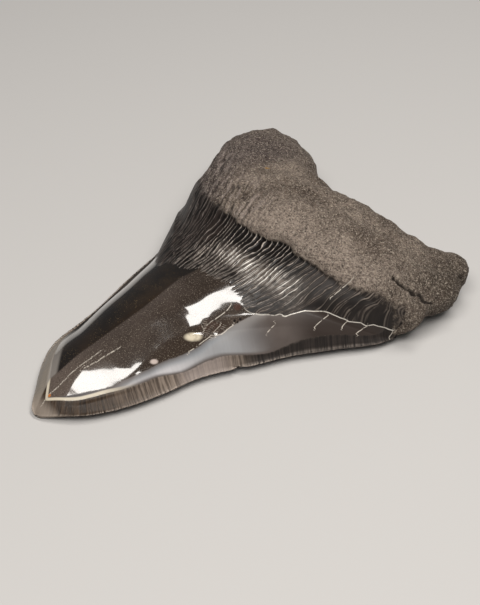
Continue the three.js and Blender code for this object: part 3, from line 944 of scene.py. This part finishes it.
def shaded_brown_enamel(s, m):
    """Left half of the blade: dark brown clouds with pale dust; the dark is partly painted shade
    of the half that faces away from the light.
    """
    dusty = m.dust.soft(0.6, 0.72) * m.patch.soft(0.4, 0.6) * m.y.soft(60, 40) * 0.6
    return s.layers(s.blend(m.cloud.soft(0.4, 0.65), colour(19, 12, 6), colour(37, 26, 15)),
                    (dusty, colour(128, 108, 76)))


def grey_enamel_and_sheen(s, m):
    """Right half of the blade: grey clouds, the grey partly a painted reflection of a grey haze,
    paler along the crest as a painted reflection too, paler near the tip and browner in between,
    with pale and dark specks."""
    y, crest = m.y, m.crest
    return s.layers(
        s.blend(m.cloud.soft(0.35, 0.7), colour(46, 36, 28), colour(66, 56, 49)),
        # Painted reflection: paler along the crest
        (crest.soft(5, 0) * 0.6 * y.soft(56, 40), colour(68, 59, 54)),
        (y.soft(22, 8) * 0.6, colour(104, 92, 84)),
        (y.soft(24, 34) * y.soft(48, 42) * crest.soft(8, 13) * 0.7, colour(52, 40, 29)),
        (m.dust.soft(0.58, 0.72) * 0.55, colour(150, 140, 126)),
        (m.dust.soft(0.44, 0.34) * 0.5, colour(34, 28, 24)))


def satin_flank(s, m, brown):
    """Flat satin stretch beside the strip: grey-brown, with a pale bluish band along the strip on
    the right that is a painted reflection, and the brown enamel with its painted shade behind a
    grey tip on the left."""
    y, flank = m.y, m.flank
    # Painted reflection: where the pale bluish band lies along the strip
    band = (flank + y * 0.02).soft(0.2, 2.2) * m.strip.soft(0, -0.8)
    painted_sheen = s.layers(colour(192, 190, 192),
                    (y.soft(32, 46), colour(150, 151, 153)),
                    (flank.soft(1.6, 0.4) * 0.6, colour(144, 154, 162)))
    right = s.layers(
        s.blend(m.cloud.soft(0.3, 0.7), colour(70, 62, 58), colour(92, 84, 80)),
        (y.soft(60, 69) * 0.85, colour(46, 38, 34)),
        (y.soft(20, 11), colour(62, 56, 56)),
        # The painted reflection laid along the strip
        (y.soft(12, 24) * y.soft(60, 46) * band * (0.75 + 0.25 * m.ticks), painted_sheen),
        (flank.soft(2.2, 0.3) * y.soft(42, 50) * y.soft(66, 60) * 0.5, colour(146, 141, 137)))
    # The brown on the left carries the painted shade of the crown's left half
    left = s.blend(y.soft(16, 26), colour(140, 138, 136), brown)
    return s.blend(m.right_side, left, right)


def ticked_strip(s, m):
    """Strip behind the cutting edge, ticked across: dark near the tip, pale beyond, black
    towards the shoulder, with pale saw teeth along it and a worn pale tip."""
    y, ticked = m.y, m.ticks.soft(0.35, 0.65)
    beyond_tip = y.soft(10, 32)
    dark_tick = s.blend(beyond_tip, colour(32, 22, 14), colour(80, 70, 62))
    pale_tick = s.blend(beyond_tip, colour(66, 51, 37), colour(136, 123, 112))
    far_strip = s.blend(ticked, colour(17, 13, 12), colour(36, 30, 28))
    teeth = m.edge.soft(0.65, 0.1) * (0.2 + 0.8 * m.saw) * m.ticks.soft(0.38, 0.58) \
        * (0.5 + 0.5 * y.soft(66, 56))
    return s.layers(
        s.blend(ticked, dark_tick, pale_tick),
        (y.soft(31, 37) * y.soft(49, 43) * 0.6, colour(152, 141, 136)),
        (y.soft(46, 54) * 0.95, far_strip),
        (y.soft(26, 18) * (1 - m.right_side) * 0.75, colour(146, 138, 128)),
        (teeth, colour(206, 192, 180)),
        (y.soft(5, 2) * 0.6, colour(140, 129, 119)))


def ridged_neck(s, m):
    """Pale threads on the ridges over dark hollows, both painted palest in one band as a painted
    highlight, and painted shade that makes the hollows black under the ledge."""
    x, lit = m.x, m.lit
    # Painted shade: the hollows drawn black in the recess under the ledge
    ledge_shade = m.shelf.soft(-8, -4) * x.soft(-9, -3) * x.soft(24, 14)
    hollow = s.layers(
        s.blend(m.streak.soft(0.35, 0.65), colour(12, 9, 8), colour(42, 35, 32)),
        # Painted highlight: the hollows paler in its band
        (lit * m.broken.soft(0.3, 0.6) * 0.8, colour(112, 102, 94)),
        (x.soft(19, 26) * 0.3, colour(44, 38, 35)),
        # Painted shade under the ledge
        (ledge_shade * 0.9, colour(12, 9, 8)))
    pale_ridge = s.layers(colour(218, 206, 194),
                          (x.soft(-4, -14), colour(120, 110, 104)),
                          (x.soft(8, 21), colour(150, 138, 127)),
                          # Painted highlight: the threads near white in its band
                          (lit, colour(255, 250, 242)))
    return s.blend(m.threads, hollow, pale_ridge)


def rough_bone(s, m):
    """Root: brown clouds, darker on both lobes, the left lobe's dark partly painted shade, and
    paler behind the ledge as a painted highlight on the bulge there, with specks of two sizes, and
    fibres beside the ledge on the left."""
    x, y, shelf, streak, fine, grit = m.x, m.y, m.shelf, m.streak, m.fine, m.grit
    fibres = shelf.soft(16, 4) * x.soft(4, -8)
    return s.layers(
        s.blend(m.cloud.soft(0.35, 0.65), colour(104, 91, 81), colour(144, 130, 118)),
        # Partly painted shade: the left lobe darker
        (x.soft(-12, -24) * 0.8, colour(86, 75, 74)),
        (y.soft(103, 113) * x.soft(-14, -24) * 0.5, colour(128, 116, 106)),
        (x.soft(26, 42) * (0.45 + 0.5 * y.soft(90, 104)), colour(76, 66, 57)),
        # Painted highlight on the root's bulge behind the ledge
        (shelf.soft(13, 2) * x.soft(-12, -2) * x.soft(39, 30) * 0.6, colour(182, 166, 153)),
        (fine.soft(0.52, 0.36) * 0.45, colour(52, 43, 37)),
        (fine.soft(0.54, 0.68) * 0.3, colour(186, 173, 156)),
        (grit.soft(0.5, 0.34) * 0.9, colour(40, 33, 28)),
        (grit.soft(0.52, 0.68) * 0.85, colour(210, 198, 182)),
        (streak.soft(0.48, 0.38) * fibres * 0.75, colour(48, 41, 40)),
        (streak.soft(0.52, 0.62) * fibres * 0.5, colour(176, 163, 156)))


def fossil_colour(s, m):
    """Each part's colour in its place, with the lines along the strip's inner side; over them
    the white crack where the enamel ends, other cracks, tip scratches and single spots."""
    x, y, u, v, crown, fine = m.x, m.y, m.u, m.v, m.crown, m.fine
    # The left half's dark brown is partly painted shade, the right half's grey partly a painted
    # reflection
    brown = shaded_brown_enamel(s, m)
    polished = s.blend(m.right_side, brown, grey_enamel_and_sheen(s, m))
    left_band = (m.strip + 0.9).thin(1.7) * y.soft(24, 12) * (1 - m.right_side)
    cream_line = (m.strip + 0.3).thin(0.45) * y.soft(24, 14) * y.soft(1.5, 4) * m.right_side
    rim_crack = m.neck.thin(0.17) * (x.soft(15, 17) * 0.5 + x.soft(21, 24) * 0.5) * (1 - m.bone)
    torn = fine.soft(0.36, 0.5)
    pits = [spot(u, v, *pit) for pit in BLACK_PITS]
    return s.layers(
        s.blend(m.in_flank, polished, satin_flank(s, m, brown)),
        (m.in_strip, ticked_strip(s, m)),
        (left_band * crown * 0.8, colour(140, 134, 128)),
        (cream_line * crown * 0.85, colour(208, 198, 178)),
        (y.soft(5, 2) * crown * 0.5, colour(146, 135, 124)),
        (m.on_neck, ridged_neck(s, m)),
        (m.bone, rough_bone(s, m)),
        (rim_crack * fine.soft(0.3, 0.42) * 0.9, colour(220, 214, 204)),
        (s.line("pale_crack", 0.15) * torn * 0.8, colour(208, 200, 188)),
        (s.line("scratch", 0.22) * m.dust.soft(0.42, 0.55) * 0.8, colour(196, 188, 176)),
        (s.line("dark_crack", 0.2 + 0.4 * m.bone) * 0.9, colour(24, 18, 14)),
        (spot(u, v, *BROWN_STAIN) * fine.soft(0.4, 0.5) * crown * 0.4, colour(66, 44, 32)),
        (spot(u, v, *CREAM_SPOT) * (0.75 + 0.25 * fine.soft(0.35, 0.5)), colour(212, 201, 178)),
        (spot(u, v, *PINK_SPOT) * 0.8, colour(214, 198, 190)),
        (spot(u, v, *RUST_SPOT) * 0.8, colour(70, 44, 33)),
        (pits[0].most(pits[1]).most(pits[2]) * 0.9, colour(20, 15, 12)),
        (spot(x, y, *TIP_OCHRE), colour(186, 112, 52)),
        (spot(x, y, *ROOT_OCHRE) * 0.8, colour(176, 136, 66)))


def fossil_material():
    """Polished enamel under a clear coat, satin flanks, ridged neck and rough root. The coat
    lies on the polished crown and, thinly, on the neck's ridges."""
    s = Sheet("fossil enamel and bone")
    m = Masks(s)
    x, y, crown, on_neck, in_strip, in_flank = m.x, m.y, m.crown, m.on_neck, m.in_strip, m.in_flank
    look = fossil_colour(s, m)

    polish = crown * (1 - in_strip) * (1 - in_flank)
    left_rim = (1 - m.right_side) * m.edge.soft(8, 3) * y.soft(16, 26)
    dry_neck = x.soft(10, 20).most(x.soft(-8, -20)) * 0.22
    rough = 0.16 * polish + 0.34 * in_flank + (0.46 + 0.2 * y.soft(46, 54)) * in_strip \
        + (0.32 + dry_neck) * on_neck + 0.75 * m.bone + 0.7 * left_rim * crown
    height = m.bone * m.grit * 2.2 + on_neck * m.threads * 0.6 \
        + in_strip * m.ticks * y.soft(60, 46) * 0.4 + polish * m.fine * 0.02
    bump = s.node("ShaderNodeBump", None, Strength=0.9, Distance=0.0005, Height=height)
    dull = spot(m.u, m.v, *DULL_PATCH) * 0.8
    neck_gloss = on_neck * (0.04 + 0.3 * m.threads) * (0.3 + 0.7 * m.neck.soft(16, 8)) \
        * x.soft(24, 12)
    gloss = polish * (1 - left_rim) * (1 - dull) + neck_gloss
    return s.surface(Base_Color=look, Roughness=rough, Normal=bump.out("Normal"), IOR=1.33,
                     Coat_Weight=gloss, Coat_Roughness=0.06, Coat_IOR=1.8)


def floor_material():
    return Sheet("pale floor paper").surface(Base_Color=(0.52, 0.51, 0.5, 1.0), Roughness=0.9)


# Camera, light and floor

CAMERA_TURN, CAMERA_RISE = SLANT_TURN, SLANT_LEAN  # round from the tip, and up
CAMERA_DISTANCE, CAMERA_LENS, LOOK_AT = 380, 87.28, (10.14, 1.24, 8.0)  # mm
# Soft boxes: direction from the tooth, both sides in metres, watts and turn in radians
BOX_DISTANCE = 0.7
TIP_BOX = (0.3435, -0.3844, 0.8568), (0.272, 0.456), 3.9, -1.145
NECK_BOX = (0.2268, 0.2616, 0.9381), (0.498, 0.187), 2.9, -0.156
FLOOR_REACH = 3.0


def make_camera():
    """The photograph's angle: 48.5 degrees round from the tip and 39 degrees up."""
    back = Vector((math.sin(CAMERA_TURN) * math.cos(CAMERA_RISE),
                   -math.cos(CAMERA_TURN) * math.cos(CAMERA_RISE), math.sin(CAMERA_RISE)))
    right = Vector((math.cos(CAMERA_TURN), math.sin(CAMERA_TURN), 0))
    turn = Matrix((right, back.cross(right), back)).transposed().to_4x4()
    data = bpy.data.cameras.new("camera")
    data.lens = CAMERA_LENS
    data.clip_start, data.clip_end = 0.01, 20
    camera = add_object("camera", data)
    place = Vector(LOOK_AT) * MM + back * (CAMERA_DISTANCE * MM)
    camera.matrix_world = Matrix.Translation(place) @ turn
    bpy.context.scene.camera = camera


def soft_box(name, direction, size, watts, turn):
    """A rectangular soft box that faces the tooth from a direction, turned about that line."""
    data = bpy.data.lights.new(name, "AREA")
    data.shape = "RECTANGLE"
    data.size, data.size_y = size
    data.energy = watts
    data.color = (1.0, 0.965, 0.92)
    away = Vector(direction).normalized()
    level = Vector((0, 1, 0)).cross(away).normalized()
    axes = Matrix((level, away.cross(level), away)).transposed() @ Matrix.Rotation(turn, 3, "Z")
    lamp = add_object(name, data)
    lamp.matrix_world = Matrix.Translation(away * BOX_DISTANCE) @ axes.to_4x4()


def make_studio():
    """A dim even room, one soft box for each highlight of the blade, and a pale floor."""
    world = bpy.data.worlds.new("dim room")
    world.use_nodes = True
    background = world.node_tree.nodes["Background"]
    background.inputs["Color"].default_value = (0.5, 0.51, 0.53, 1)
    background.inputs["Strength"].default_value = 0.18
    bpy.context.scene.world = world
    soft_box("soft box before the tip", *TIP_BOX)
    soft_box("soft box over the neck", *NECK_BOX)

    mesh = bpy.data.meshes.new("floor")
    corners = [(-1, -1), (1, -1), (1, 1), (-1, 1)]
    mesh.from_pydata([(FLOOR_REACH * a, FLOOR_REACH * b, 0) for a, b in corners], [],
                     [(0, 1, 2, 3)])
    mesh.materials.append(floor_material())
    add_object("floor", mesh)


def main():
    bpy.context.scene.view_settings.view_transform = "Standard"
    make_camera()
    make_studio()
    tooth = mesh_from("fossil_tooth", build_tooth())
    tooth.data.materials.append(fossil_material())
    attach(tooth, "root")
    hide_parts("tooth")


main()
